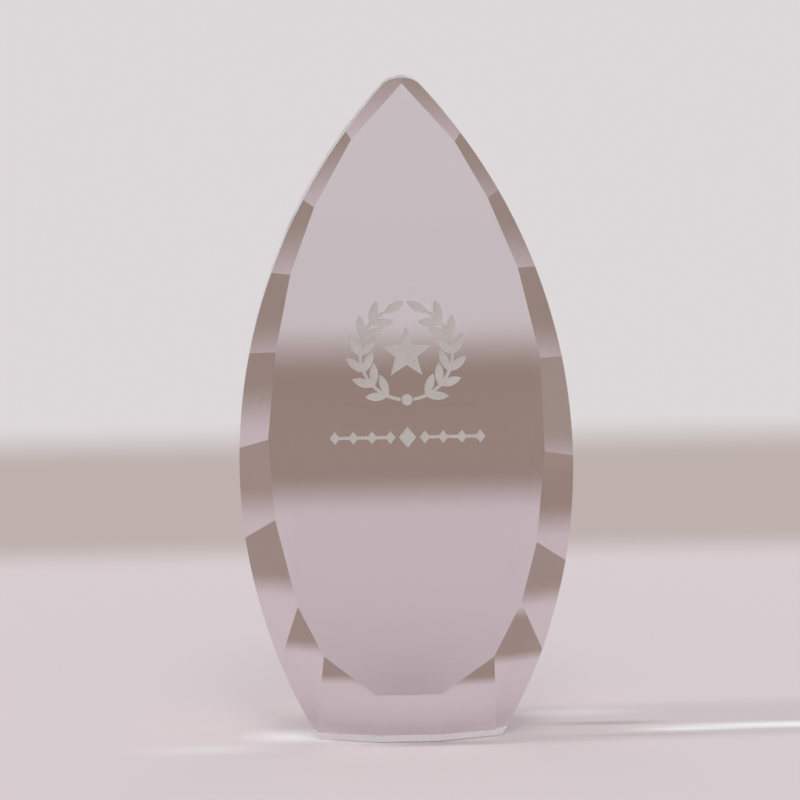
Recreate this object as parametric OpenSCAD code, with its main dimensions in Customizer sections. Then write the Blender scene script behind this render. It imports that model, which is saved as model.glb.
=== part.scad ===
// Faceted crystal award: one wedge of optical glass with a flame-shaped outline,
// a rim of flat hand-cut facets round its leaning front face, and a frosted mark.
// Units are millimetres. +Z is up, the front faces -Y, and the part stands on Z = 0.

/* [Block] */
// Height from the foot to the rounded tip
block_h = 200; // [175:1:260]
// Width across the widest level
block_w = 102; // [80:1:150]
// Height of the widest level above the foot
waist_h = 82; // [60:1:100]
// Width of the foot
foot_w = 56; // [44:1:70]
// Depth that the leaning front face would have at the foot
foot_depth = 44; // [36:0.5:60]
// Depth at the tip
tip_depth = 12.5; // [10:0.5:20]
// Radius that rounds the tip of the outline
tip_r = 8; // [6:0.5:16]
// Fine chamfer round the foot
foot_chamfer = 0.3; // [0.2:0.1:1]

/* [Facets] */
// Drop from the tip to the front face's peak
peak_drop = 1.5; // [1:0.5:4]
// Right-hand corners of the front face, up the block, percent of its height
right_corner_up = [90.5, 82, 71.5, 58, 44, 30.5, 21.5, 13.5]; // [10:0.5:95]
// Rim width outside each right-hand corner
right_rim = [3.5, 4.5, 5.5, 7, 9.5, 11, 12.5, 16]; // [3:0.5:18]
// Slope of each right-hand facet behind the front face, degrees
right_slope = [53, 55, 55.5, 54.5, 54, 53.5, 51.5, 45.5, 31]; // [20:0.5:60]
// Left-hand corners of the front face, up the block, percent of its height
left_corner_up = [91, 81, 71, 59.5, 46.5, 34.5, 21.5, 14]; // [10:0.5:95]
// Rim width outside each left-hand corner
left_rim = [3, 4, 5.5, 7.5, 8.5, 10, 12, 15]; // [3:0.5:18]
// Slope of each left-hand facet behind the front face, degrees
left_slope = [53.5, 56.5, 57.5, 57, 56.5, 55, 53, 44.5, 32]; // [20:0.5:60]
// Slope of the facet along the foot, degrees
foot_slope = 26; // [15:0.5:40]
// Height above the foot at which the foot facet leaves the front face
foot_facet_h = 16; // [10:0.5:20]
// Reach of the foot facet's upper edge to the right of the middle
foot_facet_right = 9; // [5:0.5:12]
// Reach of the foot facet's upper edge to the left of the middle
foot_facet_left = 11; // [5:0.5:12]

/* [Frosted mark] */
// Depth of the blasted recesses in the front face
etch_depth = 0.4; // [0.2:0.05:1]
// How far the frosted surface lies below the polished face
skin_drop = 0.07; // [0.02:0.01:0.12]
// Gap between the skin and its recess, all round and behind
skin_gap = 0.03; // [0.01:0.01:0.05]
// Height of the emblem's centre above the waist
emblem_rise = 36; // [28:0.5:42]
// Radius of the circle that the laurel stems follow
stem_r = 14; // [12:0.5:16]
// Width of a laurel stem
stem_w = 1; // [0.6:0.1:1.6]
// Length of a laurel leaf
leaf_len = 7; // [4:0.5:9]
// Width of a laurel leaf
leaf_w = 2.6; // [1.5:0.1:3.5]
// Pairs of leaves on one branch
leaf_pairs = 6; // [4:1:7]
// Gap between the star's points and the circle of the inner leaf tips
star_gap = 2; // [1:0.5:4]
// Gap between the two branches at the top of the wreath
top_gap = 0.8; // [0.4:0.1:3]
// Radius of the round tie at the bottom of the wreath
tie_r = 1.7; // [1:0.1:2.5]
// Gap between the tie and each branch
tie_gap = 0.25; // [0.2:0.05:1]
// Height of the ornamental band above the waist
band_rise = 11; // [2:0.5:12]
// Length of one arm of the band
band_arm = 20; // [16:0.5:24]
// Thickness of the line that joins the band's lozenges
band_line = 1; // [0.6:0.1:1.6]
// Lozenges on one arm
band_count = 4; // [2:1:4]
// Height of a small lozenge
lozenge_h = 4; // [2:0.5:4.5]
// Height of the middle lozenge
lozenge_mid_h = 6.5; // [4:0.5:8]

/* [Hidden] */
$fn = 64;

// The outline is two arcs a side, which meet upright at the waist.
half_w = block_w / 2;
half_foot = foot_w / 2;
tip_z = block_h - tip_r;
upper_r = (pow(half_w, 2) + pow(tip_z - waist_h, 2) - pow(tip_r, 2)) / (2 * (half_w - tip_r));
lower_r = (pow(half_w - half_foot, 2) + pow(waist_h, 2)) / (2 * (half_w - half_foot));
tangent_z = waist_h + upper_r * (tip_z - waist_h) / (upper_r - tip_r);

// The front face leans back over the foot; the box is centred on Y.
lean = atan((foot_depth - tip_depth) / block_h);
back_y = (foot_depth - foot_facet_h * tan(lean)) / 2;
front_y = back_y - foot_depth;
reach = 2 * (block_h + block_w);

// Wreath: angles run from straight down round to the last leaf, whose tip stops short of the middle
outer_splay = 26;
inner_splay = -46;
stem_start = asin((tie_r + tie_gap) / stem_r);
stem_end = 180 - atan(leaf_len / stem_r) - asin(top_gap / 2 / norm([leaf_len, stem_r]));
leaf_first = stem_start + 16;
star_r = norm([stem_r + leaf_len * sin(inner_splay), leaf_len * cos(inner_splay)]) - star_gap;
star_waist = 0.42;
emblem_up = (waist_h + emblem_rise) / cos(lean);

// Ornamental band
band_mid_gap = 1;
lozenge_ratio = 0.8;
band_up = (waist_h + band_rise) / cos(lean);

// Half width of the outline at height z
function half_outline(z) = z < waist_h
    ? half_w - lower_r + sqrt(pow(lower_r, 2) - pow(z - waist_h, 2))
    : half_w - upper_r + sqrt(pow(upper_r, 2) - pow(z - waist_h, 2));

// Corners of the front face on one side (+1 right, -1 left), as [across, up the face]
function corner(side, percent, rim) =
    let (z = percent * block_h / 100) [side * (half_outline(z) - rim), z / cos(lean)];
peak = [0, (block_h - peak_drop) / cos(lean)];
right_corners = [peak, for (i = [0:len(right_rim) - 1]) corner(1, right_corner_up[i], right_rim[i]),
                 [foot_facet_right, foot_facet_h / cos(lean)]];
left_corners = [peak, for (i = [0:len(left_rim) - 1]) corner(-1, left_corner_up[i], left_rim[i]),
                [-foot_facet_left, foot_facet_h / cos(lean)]];
last = len(right_corners) - 1;

// Unit vector in the front face, square to the edge a-b and pointing off the face
function off_face(a, b) =
    let (d = [b[1] - a[1], a[0] - b[0]] / norm(b - a), mid = (a + b) / 2 - [0, waist_h])
    d * mid < 0 ? -d : d;

// Outward normal of a facet in the part's frame, and a point of it
function facet_normal(d, slope) =
    let (n = [sin(slope) * d[0], -cos(slope), sin(slope) * d[1]])
    [n[0], n[1] * cos(lean) + n[2] * sin(lean), n[2] * cos(lean) - n[1] * sin(lean)];
function on_front(p) = [p[0], front_y + p[1] * sin(lean), p[1] * cos(lean)];

// Edges of the front face, each as its two corners and the slope of the facet behind it
edges = [for (i = [0:last - 1]) each [[right_corners[i], right_corners[i + 1], right_slope[i]],
                                      [left_corners[i], left_corners[i + 1], left_slope[i]]],
         [left_corners[last], right_corners[last], foot_slope]];

// Faces that meet the foot, each as an outward normal and a point: facets, back and side walls
foot_faces = [
    for (i = [2 * last - 2:2 * last])
        let (e = edges[i]) [facet_normal(off_face(e[0], e[1]), e[2]), on_front(e[1])],
    [[0, 1, 0], [0, back_y, 0]],
    for (side = [-1, 1])
        [[side * (half_foot - half_w + lower_r), 0, -waist_h] / lower_r, [side * half_foot, 0, 0]]
];

// Puts its children in the front face's own frame: X across, Z up the face, -Y out of it
module in_front_face() {
    translate([0, front_y, 0]) rotate([-lean, 0, 0]) children();
}

// Everything on the outer side of a plane through the origin, facing -Y
module outer_half() {
    translate([-reach, -reach, -reach]) cube([2 * reach, reach, 2 * reach]);
}

// Waste that one facet takes off, along the front-face edge a-b
module facet_waste(a, b, slope) {
    d = off_face(a, b);
    translate([a[0], 0, a[1]]) rotate([0, atan2(-d[0], -d[1]), 0]) rotate([slope, 0, 0]) outer_half();
}

// Waste of the fine chamfer, square to the bisector of the foot and the face with outward normal n through p
module foot_waste(n, p) {
    run = norm([n[0], n[1]]);
    translate([n * p / run * n[0] / run, n * p / run * n[1] / run, 0]) rotate([0, 0, atan2(n[1], n[0])])
        translate([-foot_chamfer, 0, 0]) rotate([0, atan2(1 - n[2], run), 0])
        translate([0, -reach, -reach]) cube([reach, 2 * reach, 2 * reach]);
}

// Flame outline of the block, X across and Y up
module outline() {
    intersection() {
        translate([half_w - upper_r, waist_h]) circle(r = upper_r);
        translate([upper_r - half_w, waist_h]) circle(r = upper_r);
        translate([-half_w, waist_h]) square([block_w, tangent_z - waist_h]);
    }
    intersection() {
        translate([0, tip_z]) circle(r = tip_r);
        translate([-tip_r, tangent_z]) square([2 * tip_r, block_h - tangent_z + 1]);
    }
    intersection() {
        translate([half_w - lower_r, waist_h]) circle(r = lower_r);
        translate([lower_r - half_w, waist_h]) circle(r = lower_r);
        translate([-half_w, 0]) square([block_w, waist_h]);
    }
}

// Leaf: the lens between two arcs, with its tip on +X and its heel at the origin
module leaf(grow) {
    half_l = leaf_len / 2 + grow;
    half_t = leaf_w / 2 + grow;
    arc_r = (pow(half_l, 2) + pow(half_t, 2)) / (2 * half_t);
    translate([leaf_len / 2, 0]) intersection() {
        translate([0, half_t - arc_r]) circle(r = arc_r);
        translate([0, arc_r - half_t]) circle(r = arc_r);
    }
}

// Sector of the plane between two angles below 180 apart, measured from straight down
module sector(from, to) {
    far = 3 * stem_r;
    mid = (from + to) / 2;
    polygon([[0, 0], for (a = [from, mid, to]) far * [sin(a), -cos(a)]]);
}

// Right-hand laurel branch about the emblem's centre
module laurel_shape(grow) {
    turn = grow / stem_r * 180 / PI;
    intersection() {
        difference() {
            circle(r = stem_r + stem_w / 2 + grow);
            circle(r = stem_r - stem_w / 2 - grow);
        }
        sector(stem_start - turn, stem_end + turn);
    }
    leaf_step = (stem_end - leaf_first) / leaf_pairs;
    for (i = [0:leaf_pairs - 1], splay = [outer_splay, inner_splay])
        rotate(leaf_first + i * leaf_step - 90) translate([stem_r, 0]) rotate(90 - splay) leaf(grow);
    rotate(stem_end - 90) translate([stem_r, 0]) rotate(90) leaf(grow);
}

// Five-pointed star about the origin
module star_shape(grow) {
    tip = star_r + 2 * grow;
    notch = star_r * star_waist + grow;
    polygon([for (i = [0:9]) let (r = i % 2 == 0 ? tip : notch) r * [sin(36 * i), cos(36 * i)]]);
}

module tie_shape(grow) {
    translate([0, -stem_r]) circle(r = tie_r + grow);
}

module lozenge(h, grow) {
    half = h / 2 + 1.5 * grow;
    polygon([[-half * lozenge_ratio, 0], [0, half], [half * lozenge_ratio, 0], [0, -half]]);
}

// Right-hand arm of the band: small lozenges strung on one line, as one closed outline
module arm_shape(grow) {
    half = lozenge_h / 2 + 1.5 * grow;
    line = band_line / 2 + grow;
    joint = lozenge_ratio * (half - line);
    first = lozenge_mid_h * lozenge_ratio / 2 + band_mid_gap + lozenge_h * lozenge_ratio / 2;
    pitch = (band_arm - lozenge_h * lozenge_ratio) / (band_count - 1);
    upper = [for (i = [0:band_count - 1]) let (x = first + i * pitch) each [
        i == 0 ? [x - lozenge_ratio * half, 0] : [x - joint, line],
        [x, half],
        i == band_count - 1 ? [x + lozenge_ratio * half, 0] : [x + joint, line]]];
    lower = [for (i = [len(upper) - 2:-1:1]) [upper[i][0], -upper[i][1]]];
    polygon(concat(upper, lower));
}

// Sinks a flat shape into the front face at height up, from depth top to depth bottom
module sunk(up, top, bottom) {
    in_front_face() translate([0, bottom, up]) rotate([90, 0, 0]) linear_extrude(bottom - top) children();
}

module skin(up) {
    color("silver") sunk(up, skin_drop, etch_depth - skin_gap) children();
}

// Recesses of the whole mark, open at the front face
module mark_recesses() {
    over = -1;
    sunk(emblem_up, over, etch_depth) star_shape(skin_gap);
    sunk(emblem_up, over, etch_depth) laurel_shape(skin_gap);
    sunk(emblem_up, over, etch_depth) mirror([1, 0]) laurel_shape(skin_gap);
    sunk(emblem_up, over, etch_depth) tie_shape(skin_gap);
    sunk(band_up, over, etch_depth) lozenge(lozenge_mid_h, skin_gap);
    sunk(band_up, over, etch_depth) arm_shape(skin_gap);
    sunk(band_up, over, etch_depth) mirror([1, 0]) arm_shape(skin_gap);
}

module crystal_block() {
    color([0.85, 0.8, 0.82, 0.5]) difference() {
        translate([0, back_y, 0]) rotate([90, 0, 0]) linear_extrude(foot_depth) outline();
        in_front_face() outer_half();
        in_front_face() for (e = edges) facet_waste(e[0], e[1], e[2]);
        for (face = foot_faces) foot_waste(face[0], face[1]);
        mark_recesses();
    }
}

module emblem_star() { skin(emblem_up) star_shape(0); }
module laurel_right() { skin(emblem_up) laurel_shape(0); }
module laurel_left() { skin(emblem_up) mirror([1, 0]) laurel_shape(0); }
module laurel_tie() { skin(emblem_up) tie_shape(0); }
module band_lozenge() { skin(band_up) lozenge(lozenge_mid_h, 0); }
module band_right() { skin(band_up) arm_shape(0); }
module band_left() { skin(band_up) mirror([1, 0]) arm_shape(0); }

crystal_block();
emblem_star();
laurel_left();
laurel_right();
laurel_tie();
band_left();
band_lozenge();
band_right();
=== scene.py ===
"""Crystal award: materials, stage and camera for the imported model, laid out as a Blender add-on."""

import math

import bpy
from mathutils import Matrix, Vector

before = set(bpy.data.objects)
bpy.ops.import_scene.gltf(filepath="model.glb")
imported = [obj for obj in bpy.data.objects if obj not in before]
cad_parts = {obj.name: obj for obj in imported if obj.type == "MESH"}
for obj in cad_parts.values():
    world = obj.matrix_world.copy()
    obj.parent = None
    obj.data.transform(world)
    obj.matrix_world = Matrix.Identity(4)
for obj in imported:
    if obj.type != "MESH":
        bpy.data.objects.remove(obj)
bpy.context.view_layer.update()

bl_info = {
    "name": "Crystal award",
    "version": (1, 0, 0),
    "blender": (4, 5, 0),
    "location": "View3D > Sidebar > Award",
    "description": "Dresses a faceted crystal award and lights it on a pale table",
    "category": "Object",
}

MM = 0.001
CROWN_IOR = 1.517  # crown optical glass
WHITE = "#FFFFFF"

BLOCK = "crystal_block"
MARK_PIECES = ("emblem_star", "laurel_left", "laurel_right", "laurel_tie",
               "band_left", "band_lozenge", "band_right")

FLOOR_HALF = 6.0  # metres; far enough to fill the view at the camera's height
FLOOR_DROP = 0.1 * MM  # keeps the floor clear of the polished foot
SIDE_LIGHT_WAY = (-1, -0.04, 0)
FRONT_LIGHT_WAY = (0.1, -1, 0)

# Painted light and shade: the light and shade that the block throws on the table, painted into the floor's
# colour.
# Each is an oval with soft edges: its place on the table, half length and half width in mm, and strength, which
# is positive for painted light and negative for painted shade.
PAINTED_LIGHT_AND_SHADE = {
    "streak to the right": (118, -3, 62, 6, 0.95),
    "start of the streak": (86, -6, 28, 3.5, 0.7),
    "glow at the left corner": (-35, -6, 22, 12, 0.55),
    "glow in front, left": (-60, -20, 34, 9, 0.2),
    "glow behind, right": (44, 17, 44, 8, 0.3),
    "shade behind the block": (0, 35, 34, 60, -0.25),
    "shade above the streak": (60, 3, 30, 4, -0.4),
    "shade below the streak": (70, -12, 40, 3, -0.2),
    "contact shade in front": (8, -18, 32, 4.5, -0.5),
}


def linear(colour):
    """An sRGB hex colour, such as "#C8BEBA", as linear red, green, blue and alpha."""
    channels = [int(colour[i:i + 2], 16) / 255 for i in (1, 3, 5)]
    return [c / 12.92 if c <= 0.04045 else ((c + 0.055) / 1.055) ** 2.4 for c in channels] + [1.0]


def add_node(tree, kind, settings=None, links=None):
    """Adds a node. settings go to its sockets, or to its properties where it has no such socket;
    links feed its sockets, each from another node's output."""
    node = tree.nodes.new(kind)
    for name, value in (settings or {}).items():
        if isinstance(name, int) or name in node.inputs:
            node.inputs[name].default_value = value
        else:
            setattr(node, name, value)
    for name, output in (links or {}).items():
        tree.links.new(output, node.inputs[name])
    return node


def new_material(name):
    material = bpy.data.materials.new(name)
    material.use_nodes = True
    material.node_tree.nodes.clear()
    return material


def dress(node, *materials):
    """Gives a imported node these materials, in this order, and the first to all its faces."""
    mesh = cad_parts[node].data
    mesh.materials.clear()
    for material in materials:
        mesh.materials.append(material)
    for face in mesh.polygons:
        face.material_index = 0


class AwardCrystalSettings(bpy.types.PropertyGroup):
    tint: bpy.props.StringProperty(
        name="Tint", description="sRGB hex colour that light keeps on its way through", default="#E7DFE3")
    ior: bpy.props.FloatProperty(
        name="IOR", description="Refractive index of the crystal", default=CROWN_IOR, min=1.4, max=1.8)
    waver: bpy.props.FloatProperty(
        name="Waver", description="Height of the polish's slow waves", default=0.006 * MM, min=0.0, unit="LENGTH")
    waver_spacing: bpy.props.FloatProperty(
        name="Waver spacing", description="Distance between the slow waves", default=9.0 * MM, min=0.001,
        unit="LENGTH")
    haze: bpy.props.FloatProperty(
        name="Haze", description="Roughness of the haziest spots", default=0.03, min=0.0, max=1.0)
    haze_spacing: bpy.props.FloatProperty(
        name="Haze spacing", description="Distance between hazy spots", default=5.0 * MM, min=0.001,
        unit="LENGTH")
    clear_share: bpy.props.FloatProperty(
        name="Clear share", description="Noise level below which the polish has no haze", default=0.45, min=0.0,
        max=1.0, subtype="FACTOR")
    hazy_share: bpy.props.FloatProperty(
        name="Hazy share", description="Noise level at which the haze is full", default=0.8, min=0.0, max=1.0,
        subtype="FACTOR")


class AwardEdgeSettings(bpy.types.PropertyGroup):
    ground: bpy.props.StringProperty(
        name="Ground glass", description="sRGB hex colour of the ground chamfer", default="#F2ECE8")
    reach: bpy.props.FloatProperty(
        name="Reach", description="Height that the ground chamfer stays below", default=0.6 * MM, min=0.0,
        unit="LENGTH")
    level: bpy.props.FloatProperty(
        name="Level", description="How far down a face looks before it counts as the foot", default=0.99,
        min=0.0, max=1.0, subtype="FACTOR")
    roughness: bpy.props.FloatProperty(
        name="Roughness", description="Roughness of the ground surface", default=0.45, min=0.0, max=1.0)
    passes: bpy.props.FloatProperty(
        name="Light through", description="Share of light that passes through the ground surface", default=0.2,
        min=0.0, max=1.0, subtype="FACTOR")


class AwardMarkSettings(bpy.types.PropertyGroup):
    frost: bpy.props.StringProperty(
        name="Frost", description="sRGB hex colour of the blasted surface", default="#EAE4E0")
    pit: bpy.props.StringProperty(
        name="Pits", description="sRGB hex colour of the pits between the grains", default="#D6CFCA")
    grit: bpy.props.FloatProperty(
        name="Grit", description="Grain of the blasting", default=0.5 * MM, min=0.0001, unit="LENGTH")
    cloud: bpy.props.FloatProperty(
        name="Clouding", description="Distance between uneven passes of the nozzle", default=6.0 * MM, min=0.001,
        unit="LENGTH")
    cloud_share: bpy.props.FloatProperty(
        name="Clouding share", description="Share of the mottling that is clouding, not grain", default=0.35,
        min=0.0, max=1.0, subtype="FACTOR")
    pit_depth: bpy.props.FloatProperty(
        name="Pit depth", description="Depth of the pits", default=0.06 * MM, min=0.0, unit="LENGTH")
    pit_strength: bpy.props.FloatProperty(
        name="Pit strength", description="How strongly the pits turn the light", default=0.5, min=0.0, max=1.0,
        subtype="FACTOR")
    roughness: bpy.props.FloatProperty(
        name="Roughness", description="Roughness of the blasted surface", default=0.62, min=0.0, max=1.0)
    passes: bpy.props.FloatProperty(
        name="Light through", description="Share of light that passes through the frost", default=0.1, min=0.0,
        max=1.0, subtype="FACTOR")


class AwardTableSettings(bpy.types.PropertyGroup):
    table_half: bpy.props.FloatProperty(
        name="Table half width", description="From the foot to the table's edge", default=267 * MM, unit="LENGTH")
    table_blur: bpy.props.FloatProperty(
        name="Table edge softness", description="Half width of the soft edge of the table", default=31 * MM,
        unit="LENGTH")
    band_half: bpy.props.FloatProperty(
        name="Band's outer edge", description="From the foot to the band's far side", default=496 * MM,
        unit="LENGTH")
    band_blur: bpy.props.FloatProperty(
        name="Band edge softness", description="Half width of the soft outer edge of the band",
        default=55 * MM, unit="LENGTH")
    corner: bpy.props.FloatProperty(
        name="Corner rounding", description="How far the table's and band's corners are rounded",
        default=50 * MM, unit="LENGTH")
    table: bpy.props.StringProperty(
        name="Table", description="sRGB hex colour of the table", default="#D6CBCE")
    band: bpy.props.StringProperty(
        name="Band", description="sRGB hex colour of the band seen directly", default="#BCAFAC")
    band_deep: bpy.props.StringProperty(
        name="Band through glass", description="sRGB hex colour of the band seen through the crystal",
        default="#A08E82")
    far: bpy.props.StringProperty(
        name="Far floor", description="sRGB hex colour of the floor and wall beyond", default="#DBD6D7")
    # Colour that the painted shade round the block darkens the floor towards.
    shade: bpy.props.StringProperty(
        name="Shade", description="sRGB hex colour of the shade round the block", default="#8C7C74")


class AwardLightSettings(bpy.types.PropertyGroup):
    walls: bpy.props.FloatProperty(
        name="Walls", description="Brightness of the room's walls", default=0.30, min=0.0)
    overhead: bpy.props.FloatProperty(
        name="Overhead", description="Brightness of the soft ceiling", default=1.09, min=0.0)
    backdrop: bpy.props.FloatProperty(
        name="Backdrop", description="Brightness of the wall behind the award", default=0.70, min=0.0)
    ceiling_from: bpy.props.FloatProperty(
        name="Ceiling from", description="Sine of the height where the walls start to brighten", default=0.4,
        min=0.0, max=1.0)
    ceiling_full: bpy.props.FloatProperty(
        name="Ceiling full", description="Sine of the height where the ceiling is fully bright", default=0.85,
        min=0.0, max=1.0)
    backdrop_from: bpy.props.FloatProperty(
        name="Backdrop from", description="How far to the back the side walls start to brighten", default=0.35,
        min=0.0, max=1.0)
    backdrop_full: bpy.props.FloatProperty(
        name="Backdrop full", description="How far to the back the wall is fully bright", default=0.85, min=0.0,
        max=1.0)
    side_strength: bpy.props.FloatProperty(
        name="Side light", description="Strength of the low light on the left", default=1.2, min=0.0)
    side_rise: bpy.props.FloatProperty(
        name="Side light's height", description="Angle of the side light above the table",
        default=math.radians(18.5), unit="ROTATION")
    side_spread: bpy.props.FloatProperty(
        name="Side light's spread", description="Angle that the side light fills", default=math.radians(6),
        unit="ROTATION")
    front_strength: bpy.props.FloatProperty(
        name="Front light", description="Strength of the high light in front", default=0.30, min=0.0)
    front_rise: bpy.props.FloatProperty(
        name="Front light's height", description="Angle of the front light above the table",
        default=math.radians(62), unit="ROTATION")
    front_spread: bpy.props.FloatProperty(
        name="Front light's spread", description="Angle that the front light fills", default=math.radians(20),
        unit="ROTATION")


class AwardCameraSettings(bpy.types.PropertyGroup):
    distance: bpy.props.FloatProperty(
        name="Distance", description="From the award, along the table", default=1197.5 * MM, unit="LENGTH")
    height: bpy.props.FloatProperty(
        name="Height", description="Above the table", default=310 * MM, unit="LENGTH")
    turn: bpy.props.FloatProperty(
        name="Turn", description="Round the award from dead ahead", default=math.radians(-2.0), unit="ROTATION")
    pan: bpy.props.FloatProperty(
        name="Pan", description="To the right of the award's middle", default=math.radians(-0.09),
        unit="ROTATION")
    tilt: bpy.props.FloatProperty(
        name="Tilt", description="Below level", default=math.radians(9.81), unit="ROTATION")
    roll: bpy.props.FloatProperty(
        name="Roll", description="About the line of sight", default=math.radians(-0.7), unit="ROTATION")
    field: bpy.props.FloatProperty(
        name="Field of view", description="Across the whole view", default=math.radians(11.42), unit="ROTATION")


def optical_crystal(settings):
    """Optical crystal, cut and hand-polished: clear, with mirror-flat facets that waver very slightly
    and a trace of polishing haze."""
    material = new_material("optical_crystal_polished")
    tree = material.node_tree
    place = add_node(tree, "ShaderNodeTexCoord")
    waves = add_node(tree, "ShaderNodeTexNoise", {"Scale": 1.0 / settings.waver_spacing, "Detail": 1.0},
                     {"Vector": place.outputs["Object"]})
    waver = add_node(tree, "ShaderNodeBump", {"Strength": 1.0, "Distance": settings.waver},
                     {"Height": waves.outputs["Fac"]})
    spots = add_node(tree, "ShaderNodeTexNoise", {"Scale": 1.0 / settings.haze_spacing, "Detail": 4.0},
                     {"Vector": place.outputs["Object"]})
    haze = add_node(tree, "ShaderNodeMapRange", {
        "From Min": settings.clear_share, "From Max": settings.hazy_share, "To Max": settings.haze},
        {"Value": spots.outputs["Fac"]})
    surface = add_node(tree, "ShaderNodeBsdfPrincipled", {
        "Base Color": linear(settings.tint), "IOR": settings.ior, "Transmission Weight": 1.0},
        {"Roughness": haze.outputs["Result"], "Normal": waver.outputs["Normal"]})
    add_node(tree, "ShaderNodeOutputMaterial", links={"Surface": surface.outputs["BSDF"]})
    return material


def ground_crystal(settings):
    """Optical crystal, ground with fine grit and left unpolished: a fine, pale line that catches the light."""
    material = new_material("optical_crystal_ground")
    tree = material.node_tree
    surface = add_node(tree, "ShaderNodeBsdfPrincipled", {
        "Base Color": linear(settings.ground), "Roughness": settings.roughness, "IOR": CROWN_IOR,
        "Transmission Weight": settings.passes})
    add_node(tree, "ShaderNodeOutputMaterial", links={"Surface": surface.outputs["BSDF"]})
    return material


def frosted_crystal(settings):
    """Optical crystal, blasted with fine grit: an even, matt, pale grey skin with a fine sparkle of pits.
    The real grain is about 0.1 mm, too fine to show, so it is drawn coarser, at settings.grit."""
    material = new_material("optical_crystal_sandblasted")
    tree = material.node_tree
    place = add_node(tree, "ShaderNodeTexCoord")
    grit = add_node(tree, "ShaderNodeTexNoise", {"Scale": 1.0 / settings.grit, "Detail": 2.0},
                    {"Vector": place.outputs["Object"]})
    cloud = add_node(tree, "ShaderNodeTexNoise", {"Scale": 1.0 / settings.cloud, "Detail": 1.0},
                     {"Vector": place.outputs["Object"]})
    mottle = add_node(tree, "ShaderNodeMix", {"data_type": "FLOAT", 0: settings.cloud_share},
                      {2: grit.outputs["Fac"], 3: cloud.outputs["Fac"]})
    # Noise keeps mostly to its middle; this stretches it to the whole way from pit to frost.
    spread = add_node(tree, "ShaderNodeMapRange", {"From Min": 0.3, "From Max": 0.7},
                      {"Value": mottle.outputs[0]})
    colour = add_node(tree, "ShaderNodeMix", {
        "data_type": "RGBA", 6: linear(settings.pit), 7: linear(settings.frost)}, {0: spread.outputs["Result"]})
    pits = add_node(tree, "ShaderNodeBump", {"Strength": settings.pit_strength, "Distance": settings.pit_depth},
                    {"Height": grit.outputs["Fac"]})
    surface = add_node(tree, "ShaderNodeBsdfPrincipled", {
        "Roughness": settings.roughness, "IOR": CROWN_IOR, "Transmission Weight": settings.passes},
        {"Base Color": colour.outputs[2], "Normal": pits.outputs["Normal"]})
    add_node(tree, "ShaderNodeOutputMaterial", links={"Surface": surface.outputs["BSDF"]})
    return material


def floor_paint(settings):
    """Matt paint, sprayed: a pale table, a soft taupe band round it and a paler floor beyond, with painted light
    and painted shade where the block throws them on the table. The band is deeper where the crystal shows it."""
    material = new_material("matt_paint_sprayed")
    tree = material.node_tree
    place = add_node(tree, "ShaderNodeNewGeometry")
    axes = add_node(tree, "ShaderNodeSeparateXYZ", links={0: place.outputs["Position"]})
    across = add_node(tree, "ShaderNodeMath", {"operation": "ABSOLUTE"}, {0: axes.outputs["X"]})
    along = add_node(tree, "ShaderNodeMath", {"operation": "ABSOLUTE"}, {0: axes.outputs["Y"]})
    out = add_node(tree, "ShaderNodeMath", {"operation": "SMOOTH_MAX", 2: settings.corner},
                   {0: across.outputs[0], 1: along.outputs[0]})
    past_table, past_band = (add_node(tree, "ShaderNodeMapRange", {
        "interpolation_type": "SMOOTHSTEP", "From Min": edge - blur, "From Max": edge + blur},
        {"Value": out.outputs[0]}) for edge, blur in ((settings.table_half, settings.table_blur),
                                                      (settings.band_half, settings.band_blur)))

    seen = add_node(tree, "ShaderNodeLightPath")
    band = add_node(tree, "ShaderNodeMix", {
        "data_type": "RGBA", 6: linear(settings.band_deep), 7: linear(settings.band)},
        {0: seen.outputs["Is Camera Ray"]})
    near = add_node(tree, "ShaderNodeMix", {"data_type": "RGBA", 6: linear(settings.table)},
                    {0: past_table.outputs["Result"], 7: band.outputs[2]})
    colour = add_node(tree, "ShaderNodeMix", {"data_type": "RGBA", 7: linear(settings.far)},
                      {0: past_band.outputs["Result"], 6: near.outputs[2]})
    # Painted light and shade: each oval lightens the floor's colour towards white or darkens it towards the shade
    # colour.
    for x, y, half_length, half_width, strength in PAINTED_LIGHT_AND_SHADE.values():
        oval = add_node(tree, "ShaderNodeMapping", {
            "vector_type": "TEXTURE", "Location": (x * MM, y * MM, 0),
            "Scale": (half_length * MM, half_width * MM, 1)}, {"Vector": place.outputs["Position"]})
        reach = add_node(tree, "ShaderNodeVectorMath", {"operation": "LENGTH"}, {0: oval.outputs["Vector"]})
        weight = add_node(tree, "ShaderNodeMapRange", {
            "interpolation_type": "SMOOTHSTEP", "From Min": 0.0, "From Max": 1.0, "To Min": abs(strength),
            "To Max": 0.0}, {"Value": reach.outputs["Value"]})
        tone = linear(WHITE if strength > 0 else settings.shade)
        colour = add_node(tree, "ShaderNodeMix", {"data_type": "RGBA", 7: tone},
                          {0: weight.outputs["Result"], 6: colour.outputs[2]})
    surface = add_node(tree, "ShaderNodeBsdfDiffuse", links={"Color": colour.outputs[2]})
    add_node(tree, "ShaderNodeOutputMaterial", links={"Surface": surface.outputs["BSDF"]})
    return material


class AWARD_OT_crystal(bpy.types.Operator):
    """Dress the crystal block"""
    bl_idname = "award.crystal"
    bl_label = "Crystal block"

    def execute(self, context):
        scene = context.scene
        edge = scene.award_edge
        dress(BLOCK, optical_crystal(scene.award_crystal), ground_crystal(edge))
        # The foot itself stays polished; only the chamfer round it is ground.
        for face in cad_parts[BLOCK].data.polygons:
            face.material_index = int(face.center.z < edge.reach and face.normal.z > -edge.level)
        return {"FINISHED"}


class AWARD_OT_mark(bpy.types.Operator):
    """Dress the frosted emblem and band"""
    bl_idname = "award.mark"
    bl_label = "Frosted mark"

    def execute(self, context):
        material = frosted_crystal(context.scene.award_mark)
        for piece in MARK_PIECES:
            dress(piece, material)
        return {"FINISHED"}


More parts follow.
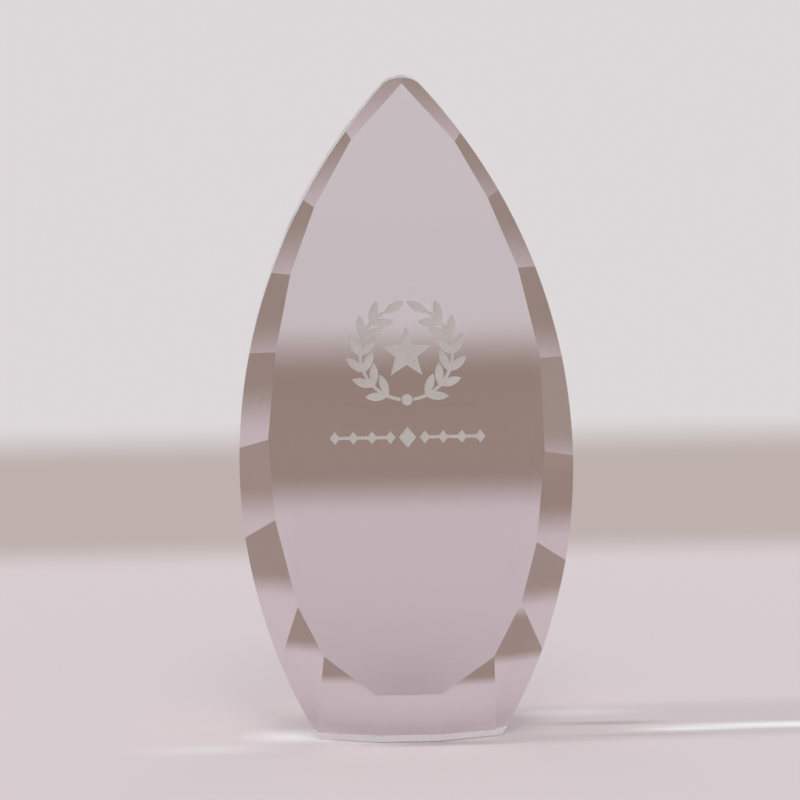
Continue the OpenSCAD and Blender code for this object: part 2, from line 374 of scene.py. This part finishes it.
class AWARD_OT_stage(bpy.types.Operator):
    """Lay the floor, light the room and set the camera"""
    bl_idname = "award.stage"
    bl_label = "Floor, light and camera"

    def execute(self, context):
        scene = context.scene
        self.lay_floor(scene)
        self.light_room(scene)
        self.set_camera(scene)
        scene.view_settings.view_transform = "Standard"
        # Light crosses many facets on its way through the block.
        scene.cycles.max_bounces = 32
        scene.cycles.transmission_bounces = 24
        scene.cycles.glossy_bounces = 16
        scene.cycles.caustics_refractive = True
        scene.cycles.caustics_reflective = True
        scene.cycles.blur_glossy = 0.0
        return {"FINISHED"}

    def lay_floor(self, scene):
        half = FLOOR_HALF
        mesh = bpy.data.meshes.new("floor")
        mesh.from_pydata([(x, y, -FLOOR_DROP) for x, y in ((-half, -half), (half, -half), (half, half),
                                                           (-half, half))], [], [(0, 1, 2, 3)])
        mesh.materials.append(floor_paint(scene.award_table))
        floor = bpy.data.objects.new("floor", mesh)
        scene.collection.objects.link(floor)

    def light_room(self, scene):
        """A soft ceiling, dimmer walls and a bright wall behind, with two large soft lights far off."""
        light = scene.award_light
        world = bpy.data.worlds.new("room")
        scene.world = world
        world.use_nodes = True
        tree = world.node_tree
        tree.nodes.clear()
        aim = add_node(tree, "ShaderNodeTexCoord")
        way = add_node(tree, "ShaderNodeSeparateXYZ", links={0: aim.outputs["Generated"]})
        walls = add_node(tree, "ShaderNodeMapRange", {
            "interpolation_type": "SMOOTHSTEP", "From Min": light.backdrop_from, "From Max": light.backdrop_full,
            "To Min": light.walls, "To Max": light.backdrop}, {"Value": way.outputs["Y"]})
        tent = add_node(tree, "ShaderNodeMapRange", {
            "interpolation_type": "SMOOTHSTEP", "From Min": light.ceiling_from, "From Max": light.ceiling_full,
            "To Max": light.overhead}, {"Value": way.outputs["Z"], "To Min": walls.outputs["Result"]})
        seen = add_node(tree, "ShaderNodeLightPath")
        glow = add_node(tree, "ShaderNodeBackground", {"Color": linear(WHITE)},
                        {"Strength": tent.outputs["Result"]})
        backdrop = add_node(tree, "ShaderNodeBackground", {
            "Color": linear(scene.award_table.far), "Strength": 1.0})
        both = add_node(tree, "ShaderNodeMixShader", links={
            0: seen.outputs["Is Camera Ray"], 1: glow.outputs[0], 2: backdrop.outputs[0]})
        add_node(tree, "ShaderNodeOutputWorld", links={"Surface": both.outputs[0]})
        self.distant_softbox(scene, "side_light", SIDE_LIGHT_WAY, light.side_rise, light.side_strength,
                             light.side_spread)
        self.distant_softbox(scene, "front_light", FRONT_LIGHT_WAY, light.front_rise, light.front_strength,
                             light.front_spread)

    def distant_softbox(self, scene, name, level_way, rise, strength, spread):
        """A large light far off, towards level_way and rise above the table."""
        way = Vector(level_way).normalized() * math.cos(rise) + Vector((0, 0, math.sin(rise)))
        data = bpy.data.lights.new(name, "SUN")
        data.energy = strength
        data.angle = spread
        lamp = bpy.data.objects.new(name, data)
        lamp.matrix_world = Matrix.Translation(way) @ way.to_track_quat("Z", "Y").to_matrix().to_4x4()
        scene.collection.objects.link(lamp)

    def set_camera(self, scene):
        view = scene.award_camera
        place = Vector((view.distance * math.sin(view.turn), -view.distance * math.cos(view.turn), view.height))
        heading = view.pan - view.turn
        ahead = Vector((math.sin(heading) * math.cos(view.tilt), math.cos(heading) * math.cos(view.tilt),
                        -math.sin(view.tilt)))
        level = Vector((math.cos(heading), -math.sin(heading), 0))
        upright = level.cross(ahead)
        across = level * math.cos(view.roll) + upright * math.sin(view.roll)
        up = upright * math.cos(view.roll) - level * math.sin(view.roll)
        data = bpy.data.cameras.new("camera")
        data.angle = view.field
        camera = bpy.data.objects.new("camera", data)
        scene.collection.objects.link(camera)
        turn = Matrix((across, up, -ahead)).transposed().to_4x4()
        camera.matrix_world = Matrix.Translation(place) @ turn
        bpy.context.scene.camera = camera


class AWARD_PT_panel(bpy.types.Panel):
    """The award's sizes, colours and steps"""
    bl_idname = "AWARD_PT_panel"
    bl_label = "Crystal award"
    bl_space_type = "VIEW_3D"
    bl_region_type = "UI"
    bl_category = "Award"

    def draw(self, context):
        for operator, groups in STEPS:
            box = self.layout.box()
            box.operator(operator.bl_idname)
            for name in groups:
                settings = getattr(context.scene, name)
                for field in settings.__annotations__:
                    box.prop(settings, field)


GROUPS = {"award_crystal": AwardCrystalSettings, "award_edge": AwardEdgeSettings,
          "award_mark": AwardMarkSettings, "award_table": AwardTableSettings,
          "award_light": AwardLightSettings, "award_camera": AwardCameraSettings}
STEPS = ((AWARD_OT_crystal, ("award_crystal", "award_edge")), (AWARD_OT_mark, ("award_mark",)),
         (AWARD_OT_stage, ("award_table", "award_light", "award_camera")))
CLASSES = (*GROUPS.values(), *(operator for operator, _ in STEPS), AWARD_PT_panel)


def register():
    for item in CLASSES:
        bpy.utils.register_class(item)
    for name, group in GROUPS.items():
        setattr(bpy.types.Scene, name, bpy.props.PointerProperty(type=group))


def unregister():
    for name in GROUPS:
        delattr(bpy.types.Scene, name)
    for item in reversed(CLASSES):
        bpy.utils.unregister_class(item)


def main():
    register()
    bpy.ops.award.crystal()
    bpy.ops.award.mark()
    bpy.ops.award.stage()


if __name__ == "__main__":
    main()
